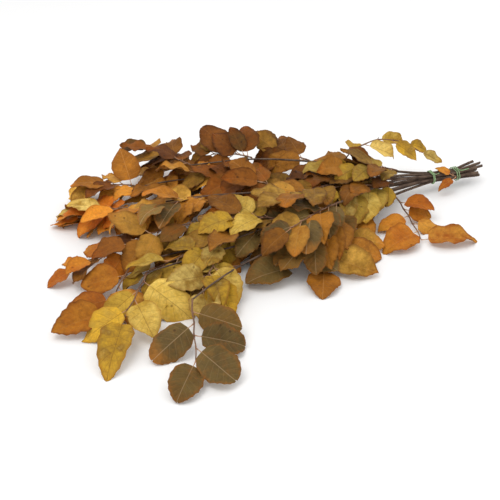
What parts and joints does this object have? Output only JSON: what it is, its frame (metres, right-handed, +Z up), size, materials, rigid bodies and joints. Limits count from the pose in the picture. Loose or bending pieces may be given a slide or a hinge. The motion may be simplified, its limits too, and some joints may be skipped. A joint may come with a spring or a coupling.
{
  "type": "beech leaf bunch",
  "caption": "Tied bunch of cut beech stems in autumn leaf, lying flat, with toothed oval leaves in tan, orange, ochre and olive fanning out from the bound ends.",
  "frame": {"origin": "middle of the bunch's footprint, on the surface it lies on", "axes": "+X along the bunch towards the cut ends, +Y towards the back of the bunch, +Z up"},
  "size_m": [0.7398, 0.6388, 0.1126],
  "materials": {
    "leaf_tan": "dry leaf, matt, faintly waxy",
    "leaf_orange": "dry leaf, matt, faintly waxy",
    "leaf_rust": "dry leaf, matt, faintly waxy",
    "leaf_ochre": "dry leaf, matt, faintly waxy",
    "leaf_olive": "dry leaf, matt, faintly waxy",
    "bark": "smooth grey-brown bark",
    "tie_green": "green coated tie wire"
  },
  "bodies": {
    "root": {"shoot_arching": "leaf_ochre", "shoot_by_the_ties": "leaf_orange", "shoot_centre_back_1": "leaf_tan", "shoot_centre_back_2": "leaf_tan", "shoot_centre_back_3": "leaf_tan", "shoot_centre_back_4": "leaf_tan", "shoot_centre_back_5": "leaf_tan", "shoot_centre_front_1": "leaf_tan", "shoot_centre_front_2": "leaf_olive", "shoot_centre_front_3": "leaf_olive", "shoot_centre_front_4": "leaf_ochre", "shoot_centre_front_5": "leaf_ochre", "shoot_centre_middle_1": "leaf_ochre", "shoot_centre_middle_2": "leaf_ochre", "shoot_centre_middle_3": "leaf_ochre", "shoot_centre_middle_4": "leaf_tan", "shoot_centre_middle_5": "leaf_orange", "shoot_hanging": "leaf_orange", "shoot_lower_back_1": "leaf_tan", "shoot_lower_back_2": "leaf_tan", "shoot_lower_back_3": "leaf_tan", "shoot_lower_back_4": "leaf_tan", "shoot_lower_back_5": "leaf_orange", "shoot_lower_front_1": "leaf_olive", "shoot_lower_front_2": "leaf_tan", "shoot_lower_front_3": "leaf_olive", "shoot_lower_front_4": "leaf_ochre", "shoot_lower_front_5": "leaf_olive", "shoot_lower_middle_1": "leaf_tan", "shoot_lower_middle_2": "leaf_tan", "shoot_lower_middle_3": "leaf_tan", "shoot_lower_middle_4": "leaf_tan", "shoot_lower_middle_5": "leaf_orange", "shoot_upper_back_1": "leaf_tan", "shoot_upper_back_2": "leaf_rust", "shoot_upper_back_3": "leaf_rust", "shoot_upper_back_4": "leaf_rust", "shoot_upper_back_5": "leaf_rust", "shoot_upper_front_1": "leaf_tan", "shoot_upper_front_2": "leaf_ochre", "shoot_upper_front_3": "leaf_olive", "shoot_upper_front_4": "leaf_ochre", "shoot_upper_front_5": "leaf_ochre", "shoot_upper_middle_1": "leaf_rust", "shoot_upper_middle_2": "leaf_tan", "shoot_upper_middle_3": "leaf_rust", "shoot_upper_middle_4": "leaf_tan", "shoot_upper_middle_5": "leaf_orange", "stem_centre_back": "bark", "stem_centre_front": "bark", "stem_centre_middle": "bark", "stem_lower_back": "bark", "stem_lower_front": "bark", "stem_lower_middle": "bark", "stem_upper_back": "bark", "stem_upper_front": "bark", "stem_upper_middle": "bark", "tie_inner": "tie_green", "tie_outer": "tie_green"}
  },
  "joints": []
}
